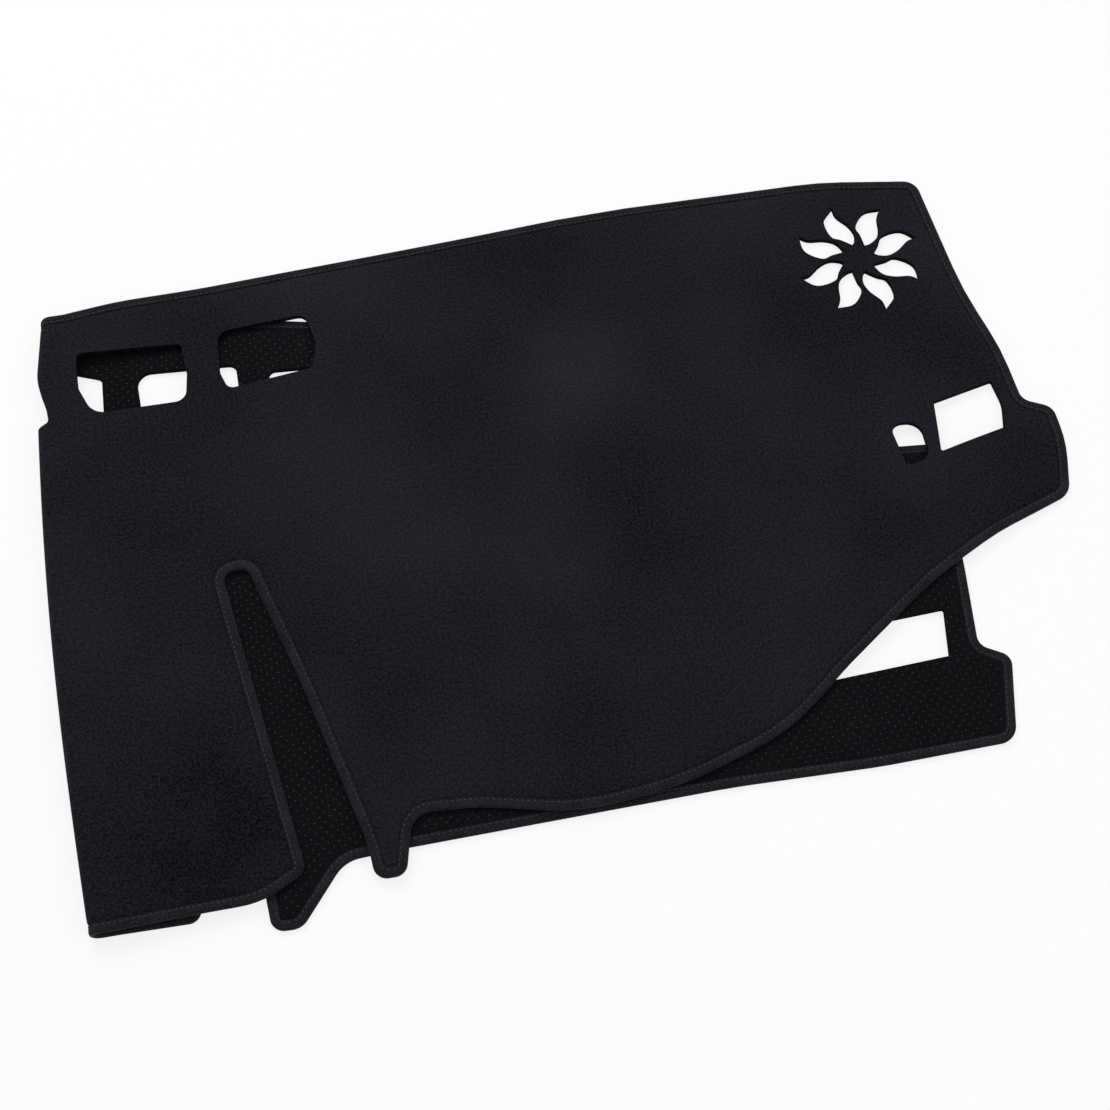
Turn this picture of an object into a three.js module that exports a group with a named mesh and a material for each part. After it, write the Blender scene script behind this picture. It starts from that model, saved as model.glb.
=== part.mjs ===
// Dashboard cover mat: one cut sheet of pile carpet with a sewn edge tape, folded in half with the pile outside.
// Millimetres, +Z up. X is square to the fold, Y runs along the fold towards the windscreen edge.
// The pattern is drawn flat as (u, v), with u = 0 on the fold line, then each point is laid by lay(u, v, w),
// where w is the height above the backing. u > 0 is the upper half and u < 0 is the half underneath.
import * as THREE from "three";

// Sheet
const CARPET_THICKNESS = 4.5;
const TURN_RADIUS = 3.5; // inside of the fold, at the backing
const FOLD_RELAX_LENGTH = 130; // from the fold to where the halves lie on each other
const LAYER_GAP = 0.6;
const FOLD_BOW = 8; // how far the soft fold swells out halfway along
const FOLD_BOW_REACH = 160;
const FOLD_DRAW = 4; // how far the fold draws in at its rear end
const FOLD_DRAW_LENGTH = 60;
const FOLD_LENGTH = 475;
const SAG_LENGTH = 90; // from the lower half's edge to where the upper half reaches the floor
const SAG_FLOOR_GAP = 0.4;

// Edge tape and the flattened carpet rim inside it
const TAPE_WIDTH = 7;
const TAPE_WALL = 0.6;
const TAPE_EDGE_ROUND = 1.2;
const TAPE_FACE_MARGIN = 0.2; // the tape lies this far inside the carpet's two faces, clear of the floor
const SEAT_GAP = 0.3;
const RIM_STEP = 1.3; // from the flattened rim up to the full pile

// Triangle sizes
const LONGEST_EDGE = 32;
const LONGEST_EDGE_BY_FOLD = 24;
const SHORTEST_EDGE = 0.9;
const ARC_STEP = THREE.MathUtils.degToRad(24);
const GRID_STEP = 38;
const BEND_COLUMNS = 10;
const IN_LINE_SHIFT = 0.02;
const BEND_STRETCH = 9; // the bend is meshed as if it were this many times wider
const BEND_POINT_ROOM = 4; // least distance of the bend's inner points from an edge
const GRID_POINT_ROOM = 17.5; // the same for the plain grid
const CORNER_SHARE = 0.48; // most of a side that one rounded corner takes up
const MITRE_LIMIT = 0.6;

// Outline of the flat pattern: corners as [u, v, rounding radius], anticlockwise from the fold's front end.
const UPPER_OUTLINE = [
  [16, -4, 30],
  [60, -2, 300],
  [113, 0, 60],
  [145, 16, 9.6],
  [125, 165, 300],
  [115, 244, 7.5],
  [132, 246, 7.5],
  [160, 145, 300],
  [188, 28, 100],
  [190, 2, 9.6],
  [211, 2, 9.6],
  [221, 44, 16],
  [266, 41, 120],
  [335, 25, 160],
  [408, 32, 260],
  [488, 58, 160],
  [536, 97, 160],
  [612, 152, 260],
  [668, 181, 200],
  [728, 203, 16],
  [737, 245, 120],
  [735, 275, 12],
  [714, 285, 11],
  [710, 330, 200],
  [695, 385, 300],
  [683, 488, 13],
  [608, 500, 260],
  [428, 503, 700],
  [280, 494, 700],
  [110, 484, 300],
  [60, 481, 200],
  [16, FOLD_LENGTH, 30],
];
const UNDER_OUTLINE = [
  [-16, FOLD_LENGTH, 30],
  [-176, 449, 300],
  [-308, 420, 400],
  [-428, 376, 400],
  [-528, 318, 300],
  [-598, 264, 60],
  [-643, 260, 9.6],
  [-638, 163, 300],
  [-632, 99, 10],
  [-653, 87, 10],
  [-640, 25, 14],
  [-544, 23, 300],
  [-440, 26, 400],
  [-212, 22, 200],
  [-171, 20, 24],
  [-137, -21, 14],
  [-117, -20, 9.6],
  [-110, 106, 300],
  [-105, 211, 7.5],
  [-89, 211, 7.5],
  [-82, 134, 300],
  [-72, -5, 9.6],
  [-16, -4, 30],
];

// Openings cut raw through the carpet: the row of air vents, the two end openings and the round one.
const VENTS = {
  centre: [
    [0, 438, 6],
    [-44.5, 421, 6],
    [-44.5, 377, 8],
    [7, 382, 5],
  ],
  upper_inner: [
    [27, 439, 4],
    [28.5, 410, 12],
    [38.5, 386, 14],
    [104, 388, 9],
    [106.5, 410, 8],
    [104, 437, 4],
  ],
  upper_outer: [
    [132, 443, 10],
    [130, 408, 20],
    [135, 393, 6],
    [198, 400, 6],
    [204, 420, 12],
    [198, 447, 7],
  ],
  under_inner: [
    [-69, 421, 10],
    [-142, 416, 6],
    [-142, 370, 9],
    [-72, 372, 9],
  ],
  under_outer: [
    [-165, 406, 5],
    [-240, 401, 8],
    [-238, 352, 9],
    [-165, 358, 9],
  ],
};
const END_OPENINGS = {
  upper_end: [
    [647.5, 292, 1.5],
    [642.5, 250, 1.5],
    [694, 263, 1.5],
    [698, 283, 30],
    [695, 303.5, 1.5],
  ],
  under_end: [
    [-614.5, 130, 1.5],
    [-520, 126, 1.5],
    [-524, 90, 1.5],
    [-609.5, 94, 1.5],
  ],
  round: [
    [610, 279, 8],
    [615, 243, 3],
    [634, 246, 14],
    [633, 278, 14],
  ],
};

// Sun of flames cut over the loudspeaker: eight equal flames, each with a rising and a returning side.
const SUN_CENTRE = [623, 426];
const SUN_RADIUS = 49;
const SUN_FLAMES = 8;
const SUN_TIP_ANGLE = 56.8;
// [share of the sun's radius, degrees from the flame's outer tip]
const FLAME_RISING = [
  [0.25, -2],
  [0.42, 17],
  [0.55, 25],
  [0.74, 20],
  [0.88, 13],
  [1, 0],
];
const FLAME_RETURNING = [
  [1, 0],
  [0.84, 0],
  [0.64, -9],
  [0.47, -16],
  [0.32, -13],
  [0.25, -2],
];
const FLAME_SIDE_STEPS = 6;

const BEND_HALF_LENGTH = (Math.PI * TURN_RADIUS) / 2;

const smooth = (a, b, x) => THREE.MathUtils.smoothstep(x, a, b);

// A closed outline of rounded corners as an evenly split loop of points.
function roundedLoop(corners) {
  const loop = [];
  corners.forEach(([u, v, radius], i) => {
    const here = new THREE.Vector2(u, v);
    const [au, av] = corners[(i + corners.length - 1) % corners.length];
    const [bu, bv] = corners[(i + 1) % corners.length];
    const back = new THREE.Vector2(au, av).sub(here);
    const ahead = new THREE.Vector2(bu, bv).sub(here);
    const room = CORNER_SHARE * Math.min(back.length(), ahead.length());
    back.normalize();
    ahead.normalize();
    const half = Math.acos(THREE.MathUtils.clamp(back.dot(ahead), -1, 1)) / 2;
    const reach = Math.min(radius / Math.tan(half), room);
    const r = reach * Math.tan(half);
    const centre = back.clone().add(ahead).normalize().multiplyScalar(r / Math.sin(half)).add(here);
    const start = here.clone().addScaledVector(back, reach).sub(centre);
    const end = here.clone().addScaledVector(ahead, reach).sub(centre);
    const turn = Math.atan2(start.cross(end), start.dot(end));
    const byAngle = Math.ceil(Math.abs(turn) / ARC_STEP);
    const byLength = Math.ceil(Math.abs(turn * r) / LONGEST_EDGE);
    const steps = Math.max(1, byAngle, byLength);
    for (let k = 0; k <= steps; k++) {
      loop.push(start.clone().rotateAround(new THREE.Vector2(), (turn * k) / steps).add(centre));
    }
  });
  return splitLoop(loop);
}

const bendColumns = Array.from(
  { length: BEND_COLUMNS + 1 },
  (_, k) => BEND_HALF_LENGTH * ((2 * k) / BEND_COLUMNS - 1),
);

// Long straight stretches are split evenly, and every stretch is split where it crosses a column of the bend.
function splitLoop(loop) {
  const out = [];
  loop.forEach((p, i) => {
    const q = loop[(i + 1) % loop.length];
    const cuts = [0];
    const byFold = Math.min(Math.abs(p.x), Math.abs(q.x)) < FOLD_RELAX_LENGTH;
    const pieces = Math.ceil(p.distanceTo(q) / (byFold ? LONGEST_EDGE_BY_FOLD : LONGEST_EDGE));
    for (let k = 1; k < pieces; k++) cuts.push(k / pieces);
    for (const column of bendColumns) {
      const at = (column - p.x) / (q.x - p.x);
      if (at > 0 && at < 1) cuts.push(at);
    }
    cuts.sort((a, b) => a - b);
    for (const at of cuts) {
      const point = p.clone().lerp(q, at);
      if (!out.length || point.distanceTo(out[out.length - 1]) > SHORTEST_EDGE) out.push(point);
    }
  });
  if (out[0].distanceTo(out[out.length - 1]) < SHORTEST_EDGE) out.pop();
  return out;
}

// Each point moved square to the loop, to the left of its direction: inwards on an anticlockwise outline.
function insetLoop(loop, distance) {
  return loop.map((p, i) => {
    const before = loop[(i + loop.length - 1) % loop.length];
    const after = loop[(i + 1) % loop.length];
    const a = p.clone().sub(before).normalize();
    const b = after.clone().sub(p).normalize();
    const along = a.add(b).normalize();
    const mitre = distance / Math.max(MITRE_LIMIT, along.dot(b));
    return new THREE.Vector2(p.x - along.y * mitre, p.y + along.x * mitre);
  });
}

function inside(loop, x, y) {
  let odd = false;
  for (let i = 0, j = loop.length - 1; i < loop.length; j = i++) {
    const a = loop[i];
    const b = loop[j];
    if (a.y > y !== b.y > y && x < ((b.x - a.x) * (y - a.y)) / (b.y - a.y) + a.x) odd = !odd;
  }
  return odd;
}

function distanceToLoop(loop, x, y) {
  let best = Infinity;
  loop.forEach((a, i) => {
    const b = loop[(i + 1) % loop.length];
    const dx = b.x - a.x;
    const dy = b.y - a.y;
    const t = THREE.MathUtils.clamp(((x - a.x) * dx + (y - a.y) * dy) / (dx * dx + dy * dy), 0, 1);
    best = Math.min(best, Math.hypot(x - a.x - t * dx, y - a.y - t * dy));
  });
  return best;
}

function flameLoop(index) {
  const tip = THREE.MathUtils.degToRad(SUN_TIP_ANGLE - (index * 360) / SUN_FLAMES);
  const side = (shape) =>
    new THREE.SplineCurve(
      shape.map(([share, degrees]) => {
        const angle = tip + THREE.MathUtils.degToRad(degrees);
        const r = share * SUN_RADIUS;
        return new THREE.Vector2(SUN_CENTRE[0] + r * Math.cos(angle), SUN_CENTRE[1] + r * Math.sin(angle));
      }),
    ).getSpacedPoints(FLAME_SIDE_STEPS);
  return [...side(FLAME_RETURNING).slice(0, -1), ...side(FLAME_RISING).slice(0, -1)];
}

// Height of the upper half's backing over the floor
const outline = roundedLoop([...UPPER_OUTLINE, ...UNDER_OUTLINE]);
const footprint = outline.filter((p) => p.x < 0).map((p) => new THREE.Vector2(-p.x, p.y));

function upperHeight(u, v) {
  const fromFold = u - BEND_HALF_LENGTH;
  const onLayer = CARPET_THICKNESS + LAYER_GAP;
  const relaxed = 1 - smooth(0, FOLD_RELAX_LENGTH, fromFold);
  let height = onLayer + (2 * TURN_RADIUS - LAYER_GAP) * relaxed;
  if (u > 0 && !inside(footprint, u, v)) {
    const off = distanceToLoop(footprint, u, v) * smooth(0, FOLD_RELAX_LENGTH, fromFold);
    height += (SAG_FLOOR_GAP - onLayer) * smooth(0, SAG_LENGTH, off);
  }
  return height;
}

// The folded place of the pattern point (u, v) at the height w above the backing
function lay(u, v, w) {
  const bow = FOLD_BOW * Math.sin((Math.PI * v) / FOLD_LENGTH);
  const draw = FOLD_DRAW * smooth(FOLD_LENGTH - FOLD_DRAW_LENGTH, FOLD_LENGTH, v);
  const shift = (draw - bow) * (1 - smooth(0, FOLD_BOW_REACH, Math.abs(u)));
  if (Math.abs(u) < BEND_HALF_LENGTH) {
    const turn = u / TURN_RADIUS;
    const radius = TURN_RADIUS + w;
    const middle = CARPET_THICKNESS + TURN_RADIUS;
    return new THREE.Vector3(shift - radius * Math.cos(turn), v, middle + radius * Math.sin(turn));
  }
  const along = shift + Math.abs(u) - BEND_HALF_LENGTH;
  if (u < 0) return new THREE.Vector3(along, v, CARPET_THICKNESS - w);
  return new THREE.Vector3(along, v, upperHeight(u, v) + w);
}

// Delaunay triangles of flat points, by inserting one point at a time
function delaunay(points) {
  const far = 1e5;
  const all = [...points, [-far, -far], [far, -far], [0, far]];
  const n = points.length;
  const withCircle = (a, b, c) => {
    const [ax, ay] = all[a];
    const bx = all[b][0] - ax;
    const by = all[b][1] - ay;
    const cx = all[c][0] - ax;
    const cy = all[c][1] - ay;
    const d = 2 * (bx * cy - by * cx);
    const ux = (cy * (bx * bx + by * by) - by * (cx * cx + cy * cy)) / d;
    const uy = (bx * (cx * cx + cy * cy) - cx * (bx * bx + by * by)) / d;
    return { a, b, c, x: ax + ux, y: ay + uy, rr: ux * ux + uy * uy };
  };
  let triangles = [withCircle(n, n + 1, n + 2)];
  points.forEach(([x, y], i) => {
    const rim = new Map();
    const kept = [];
    for (const t of triangles) {
      if ((x - t.x) ** 2 + (y - t.y) ** 2 >= t.rr) {
        kept.push(t);
        continue;
      }
      for (const [p, q] of [[t.a, t.b], [t.b, t.c], [t.c, t.a]]) {
        if (!rim.delete(`${q},${p}`)) rim.set(`${p},${q}`, [p, q]);
      }
    }
    for (const [p, q] of rim.values()) kept.push(withCircle(p, q, i));
    triangles = kept;
  });
  return triangles.filter((t) => t.a < n && t.b < n && t.c < n).map((t) => [t.a, t.b, t.c]);
}

// Carpet: rows of points along the taped edge, the openings' edges, the bend's columns and a plain grid
function carpetGeometry() {
  const rimStart = TAPE_WALL + SEAT_GAP;
  const rimEnd = TAPE_WIDTH + SEAT_GAP;
  const fieldStart = rimEnd + RIM_STEP;
  const rimLow = TAPE_FACE_MARGIN + TAPE_WALL + SEAT_GAP;
  const rimHigh = CARPET_THICKNESS - rimLow;
  const field = insetLoop(outline, fieldStart);
  const openings = [...Object.values(VENTS), ...Object.values(END_OPENINGS)].map(roundedLoop);
  for (let k = 0; k < SUN_FLAMES; k++) openings.push(flameLoop(k));

  const flat = [];
  const add = (p, low = 0, high = CARPET_THICKNESS) => flat.push({ u: p.x, v: p.y, low, high });
  insetLoop(outline, rimStart).forEach((p) => add(p, rimLow, rimHigh));
  insetLoop(outline, rimEnd).forEach((p) => add(p, rimLow, rimHigh));
  field.forEach((p) => add(p));
  const stations = outline.length;
  const faces = [];
  for (let row = 0; row < 2; row++) {
    for (let s = 0; s < stations; s++) {
      const a = row * stations + s;
      const b = row * stations + ((s + 1) % stations);
      faces.push([a, b, b + stations], [a, b + stations, a + stations]);
    }
  }

  openings.flat().forEach((p) => add(p));
  const clear = (u, v, room) => {
    if (!inside(field, u, v) || distanceToLoop(field, u, v) < room) return false;
    return openings.every((loop) => !inside(loop, u, v) && distanceToLoop(loop, u, v) > room);
  };
  const box = new THREE.Box2().setFromPoints(outline);
  const addColumn = (u, room) => {
    for (let v = box.min.y; v < box.max.y; v += GRID_STEP) {
      if (clear(u, v, room)) add(new THREE.Vector2(u, v));
    }
  };
  bendColumns.forEach((u) => addColumn(u, BEND_POINT_ROOM));
  for (const side of [-1, 1]) {
    for (let u = 2 * BEND_HALF_LENGTH; side * u > box.min.x && side * u < box.max.x; u += GRID_STEP) {
      addColumn(side * u, GRID_POINT_ROOM);
    }
  }

  const fieldPoints = flat.slice(2 * stations);
  const widened = (u) => u + (BEND_STRETCH - 1) * THREE.MathUtils.clamp(u, -BEND_HALF_LENGTH, BEND_HALF_LENGTH);
  // Points in one line are shifted a little, by an amount that never repeats, only for finding the triangles.
  const apart = fieldPoints.map(
    (p, i) =>
      new THREE.Vector2(
        widened(p.u) + IN_LINE_SHIFT * Math.sin(i * i),
        p.v + IN_LINE_SHIFT * Math.cos(i * i),
      ),
  );
  let next = stations;
  const holes = openings.map((loop) => apart.slice(next, (next += loop.length)));
  const rim = apart.slice(0, stations);
  for (const face of delaunay(apart.map((p) => p.toArray()))) {
    const [a, b, c] = face.map((i) => apart[i]);
    const x = (a.x + b.x + c.x) / 3;
    const y = (a.y + b.y + c.y) / 3;
    if (inside(rim, x, y) && holes.every((loop) => !inside(loop, x, y))) {
      faces.push(face.map((i) => i + 2 * stations));
    }
  }
  return slab(flat, faces);
}

// A slab from flat triangles: the two faces, and a wall along every edge that only one triangle uses
function slab(flat, faces) {
  const n = flat.length;
  const place = [];
  flat.forEach((p) => place.push(...lay(p.u, p.v, p.high).toArray()));
  flat.forEach((p) => place.push(...lay(p.u, p.v, p.low).toArray()));
  const index = [];
  const single = new Map();
  for (const [a, b, c] of faces) {
    index.push(a, b, c, a + n, c + n, b + n);
    for (const [p, q] of [[a, b], [b, c], [c, a]]) {
      if (!single.delete(`${q},${p}`)) single.set(`${p},${q}`, [p, q]);
    }
  }
  for (const [p, q] of single.values()) index.push(q, p, p + n, q, p + n, q + n);
  const geometry = new THREE.BufferGeometry();
  geometry.setAttribute("position", new THREE.Float32BufferAttribute(place, 3));
  geometry.setIndex(index);
  return geometry;
}

// Edge tape: a folded strip of C section, wrapped round the carpet's rim all along the outline
function tapeGeometry() {
  const low = TAPE_FACE_MARGIN;
  const high = CARPET_THICKNESS - TAPE_FACE_MARGIN;
  const section = [
    [TAPE_WIDTH, high],
    [TAPE_EDGE_ROUND, high],
    [0, high - TAPE_EDGE_ROUND],
    [0, low + TAPE_EDGE_ROUND],
    [TAPE_EDGE_ROUND, low],
    [TAPE_WIDTH, low],
    [TAPE_WIDTH, low + TAPE_WALL],
    [TAPE_WALL, low + TAPE_WALL],
    [TAPE_WALL, high - TAPE_WALL],
    [TAPE_WIDTH, high - TAPE_WALL],
  ];
  const rows = section.map(([inset, w]) => insetLoop(outline, inset).map((p) => lay(p.x, p.y, w)));
  const stations = outline.length;
  const sides = section.length;
  const place = [];
  for (let s = 0; s < stations; s++) rows.forEach((row) => place.push(...row[s].toArray()));
  const index = [];
  for (let s = 0; s < stations; s++) {
    for (let k = 0; k < sides; k++) {
      const a = s * sides + k;
      const b = s * sides + ((k + 1) % sides);
      const c = ((s + 1) % stations) * sides + k;
      const d = ((s + 1) % stations) * sides + ((k + 1) % sides);
      index.push(a, b, d, a, d, c);
    }
  }
  const geometry = new THREE.BufferGeometry();
  geometry.setAttribute("position", new THREE.Float32BufferAttribute(place, 3));
  geometry.setIndex(index);
  return geometry;
}

const carpet = new THREE.Mesh(
  carpetGeometry(),
  new THREE.MeshStandardMaterial({ color: 0x141317, roughness: 0.95, metalness: 0 }),
);
carpet.name = "carpet_sheet";
const tape = new THREE.Mesh(
  tapeGeometry(),
  new THREE.MeshStandardMaterial({ color: 0x1b1a1e, roughness: 0.8, metalness: 0 }),
);
tape.name = "edge_binding";

// The origin is on the floor under the middle of the folded mat.
const mat = new THREE.Group();
mat.add(carpet, tape);
const bounds = new THREE.Box3().setFromObject(mat);
const middle = bounds.getCenter(new THREE.Vector3());
mat.children.forEach((mesh) => mesh.geometry.translate(-middle.x, -middle.y, -bounds.min.z));

export default mat;
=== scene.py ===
import math

import bpy
import numpy as np
from bpy.props import FloatProperty, FloatVectorProperty, IntProperty, PointerProperty
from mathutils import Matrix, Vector, noise
from mathutils.geometry import delaunay_2d_cdt


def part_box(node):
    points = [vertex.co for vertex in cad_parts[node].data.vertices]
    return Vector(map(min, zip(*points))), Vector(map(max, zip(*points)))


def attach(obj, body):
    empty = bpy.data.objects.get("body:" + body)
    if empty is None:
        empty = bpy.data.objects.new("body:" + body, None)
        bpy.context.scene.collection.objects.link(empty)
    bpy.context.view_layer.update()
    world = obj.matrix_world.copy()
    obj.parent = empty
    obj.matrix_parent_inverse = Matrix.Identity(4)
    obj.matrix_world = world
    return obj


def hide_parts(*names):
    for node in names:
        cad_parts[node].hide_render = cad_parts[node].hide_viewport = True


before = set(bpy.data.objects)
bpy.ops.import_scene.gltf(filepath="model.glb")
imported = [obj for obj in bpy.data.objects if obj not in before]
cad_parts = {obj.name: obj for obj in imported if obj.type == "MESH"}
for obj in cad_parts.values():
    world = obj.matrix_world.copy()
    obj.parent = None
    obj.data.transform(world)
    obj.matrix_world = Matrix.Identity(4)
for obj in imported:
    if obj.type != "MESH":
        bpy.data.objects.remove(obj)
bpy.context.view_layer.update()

bl_info = {
    "name": "Folded dashboard cover mat",
    "version": (1, 0, 0),
    "blender": (4, 5, 0),
    "location": "View3D > Sidebar > Mat",
    "description": "Builds a folded pile-carpet dashboard cover with its edge tape, stitching and grip dots",
    "category": "Object",
}

MM = 0.001

# The flat pattern, in millimetres: corners as (u, v, rounding radius), anticlockwise, u = 0 on the fold.
# It is the solids' own pattern, so that every edge and opening of the dressed sheet lies on theirs.
FOLD_LENGTH = 475.0
UPPER_OUTLINE = [
    (16, -4, 30), (60, -2, 300), (113, 0, 60), (145, 16, 9.6), (125, 165, 300), (115, 244, 7.5),
    (132, 246, 7.5), (160, 145, 300), (188, 28, 100), (190, 2, 9.6), (211, 2, 9.6), (221, 44, 16),
    (266, 41, 120), (335, 25, 160), (408, 32, 260), (488, 58, 160), (536, 97, 160), (612, 152, 260),
    (668, 181, 200), (728, 203, 16), (737, 245, 120), (735, 275, 12), (714, 285, 11), (710, 330, 200),
    (695, 385, 300), (683, 488, 13), (608, 500, 260), (428, 503, 700), (280, 494, 700),
    (110, 484, 300), (60, 481, 200), (16, FOLD_LENGTH, 30),
]
UNDER_OUTLINE = [
    (-16, FOLD_LENGTH, 30), (-176, 449, 300), (-308, 420, 400), (-428, 376, 400), (-528, 318, 300),
    (-598, 264, 60), (-643, 260, 9.6), (-638, 163, 300), (-632, 99, 10), (-653, 87, 10),
    (-640, 25, 14), (-544, 23, 300), (-440, 26, 400), (-212, 22, 200), (-171, 20, 24),
    (-137, -21, 14), (-117, -20, 9.6), (-110, 106, 300), (-105, 211, 7.5), (-89, 211, 7.5),
    (-82, 134, 300), (-72, -5, 9.6), (-16, -4, 30),
]
VENTS = [
    [(0, 438, 6), (-44.5, 421, 6), (-44.5, 377, 8), (7, 382, 5)],
    [(27, 439, 4), (28.5, 410, 12), (38.5, 386, 14), (104, 388, 9), (106.5, 410, 8), (104, 437, 4)],
    [(132, 443, 10), (130, 408, 20), (135, 393, 6), (198, 400, 6), (204, 420, 12), (198, 447, 7)],
    [(-69, 421, 10), (-142, 416, 6), (-142, 370, 9), (-72, 372, 9)],
    [(-165, 406, 5), (-240, 401, 8), (-238, 352, 9), (-165, 358, 9)],
]
END_OPENINGS = [
    [(647.5, 292, 1.5), (642.5, 250, 1.5), (694, 263, 1.5), (698, 283, 30), (695, 303.5, 1.5)],
    [(-614.5, 130, 1.5), (-520, 126, 1.5), (-524, 90, 1.5), (-609.5, 94, 1.5)],
    [(610, 279, 8), (615, 243, 3), (634, 246, 14), (633, 278, 14)],
]
SUN_CENTRE = (623, 426)
SUN_RADIUS = 49.0
SUN_FLAMES = 8
SUN_TIP_ANGLE = 56.8
# (share of the sun's radius, degrees from the flame's outer tip)
FLAME_RISING = [(0.25, -2), (0.42, 17), (0.55, 25), (0.74, 20), (0.88, 13), (1, 0)]
FLAME_RETURNING = [(1, 0), (0.84, 0), (0.64, -9), (0.47, -16), (0.32, -13), (0.25, -2)]
FLAME_SIDE_STEPS = 24

# How the sheet lies: the same fold and sag as the solid it stands for
CARPET_THICKNESS = 4.5
TURN_RADIUS = 3.5
FOLD_RELAX_LENGTH = 130.0
LAYER_GAP = 0.6
FOLD_BOW = 8.0
FOLD_BOW_REACH = 160.0
FOLD_DRAW = 4.0
FOLD_DRAW_LENGTH = 60.0
SAG_LENGTH = 90.0
SAG_FLOOR_GAP = 0.4
BEND_HALF_LENGTH = math.pi * TURN_RADIUS / 2
WAVE_HEIGHT = 0.35
WAVE_LENGTH = 70.0
WAVE_LAYER = 3.0  # which slice of the noise the waves are read from

# How outlines and meshes are divided, in millimetres or shares
CORNER_SHARE = 0.48  # most of a side that the rounding of one corner may take
MITRE_LIMIT = 0.6
SHORTEST_STRETCH = 0.1
BEND_STRETCH = 13.0  # the bend is meshed this many times finer than the flat field
HEIGHT_GRID = 6.0
COARSE_STEP = 14.0
COARSE_ARC = math.radians(20)
OUTLINE_STEP_SHARE = 0.6
RIM_CLEARANCE = 0.5  # shares of the mesh step that stay free beside the rim and the openings
OPENING_CLEARANCE = 0.4
MERGE_DISTANCE = 1e-6
CRISP_ANGLE = math.radians(50)

# Carpet rim under and beside the tape: (inset, height of the backing side, height of the pile side)
RIM_ROWS = [(4.5, 1.2, 3.2), (6.6, 1.0, 3.0), (7.3, 0.5, 3.1), (8.1, 0.1, 3.7), (9.2, 0.0, 4.3)]
# Tape section: (inset, height above the backing), with a valley where the stitches pull it down
TAPE_SECTION = [
    (7.05, 3.55), (7.0, 3.95), (6.6, 4.22), (6.0, 4.15), (5.5, 3.85), (4.9, 4.22), (3.6, 4.42),
    (2.0, 4.36), (0.8, 3.95), (0.15, 3.2), (0.0, 2.25), (0.15, 1.3), (0.8, 0.5), (2.0, 0.08),
    (3.6, 0.0), (4.9, 0.18), (5.5, 0.42), (6.0, 0.2), (6.6, 0.16), (7.0, 0.45), (7.05, 0.95),
    (1.1, 1.0), (0.8, 2.25), (1.1, 3.5),
]
PUCKER_FROM = 1.0  # the tape puckers between these two insets
PUCKER_TO = 7.0
PUCKER_LENGTH = 7.0
RIB_PITCH = 1.1  # coarser than the real half millimetre, so that it shows
STITCH_INSET = 5.5
STITCH_FACES = [(3.92, 1.0), (0.4, -1.0)]  # (height of the thread, direction of its face)
# Rings of one stitch: (share of its length, dip of the thread, share of its thickness)
STITCH_RINGS = [(0, -0.45, 0.55), (0.25, 0.0, 1.0), (0.75, 0.0, 1.0), (1.0, -0.45, 0.55)]
THREAD_SIDES = 5
THREAD_LOOK_AHEAD = 0.4  # how far along the tape the thread's direction is read
DOT_SIDES = 6
DOT_SINK = 0.03  # how far a dot's rim is let into the backing
DOT_OUTLINE_STEP = 6.0
# Painted highlights on the pile, soft round patches made lighter where light falls on it, and a negative
# strength paints shade: (u, v, radius, strength)
PAINTED_LIGHT_PATCHES = [(383, 360, 75, 1.4), (205, 265, 110, 0.75), (275, 95, 70, 0.4), (90, 90, 130, -0.45)]

# Studio: lamps as (name, place in metres, size in metres, watts), the floor in metres, the camera in
# millimetres and degrees
LAMPS = [("key_lamp", (-0.5, 1.3, 1.9), 1.6, 26), ("fill_lamp", (1.4, -1.2, 1.7), 1.4, 12)]
AIR_LIGHT = 0.55
FLOOR_SIZE = 8
FLOOR_DROP = 0.0003
FLOOR_WHITE_SHARE = 0.8  # how much of the shadow on the floor gives way to plain white
CAMERA_TARGET = (-12.4, -19.9, 0.0)
CAMERA_AZIMUTH = -10.0
CAMERA_ELEVATION = 65.0
CAMERA_DISTANCE = 1554.0
CAMERA_LENS = 70.0


def smooth(a, b, x):
    """Hermite step from 0 at a to 1 at b."""
    t = np.clip((np.asarray(x, float) - a) / (b - a), 0, 1)
    return t * t * (3 - 2 * t)


def widened(points):
    """Flat points with the bend stretched, so that even steps there are fine steps on the sheet."""
    u = points[:, 0]
    wide = u + (BEND_STRETCH - 1) * np.clip(u, -BEND_HALF_LENGTH, BEND_HALF_LENGTH)
    return np.stack([wide, points[:, 1]], 1)


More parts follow.
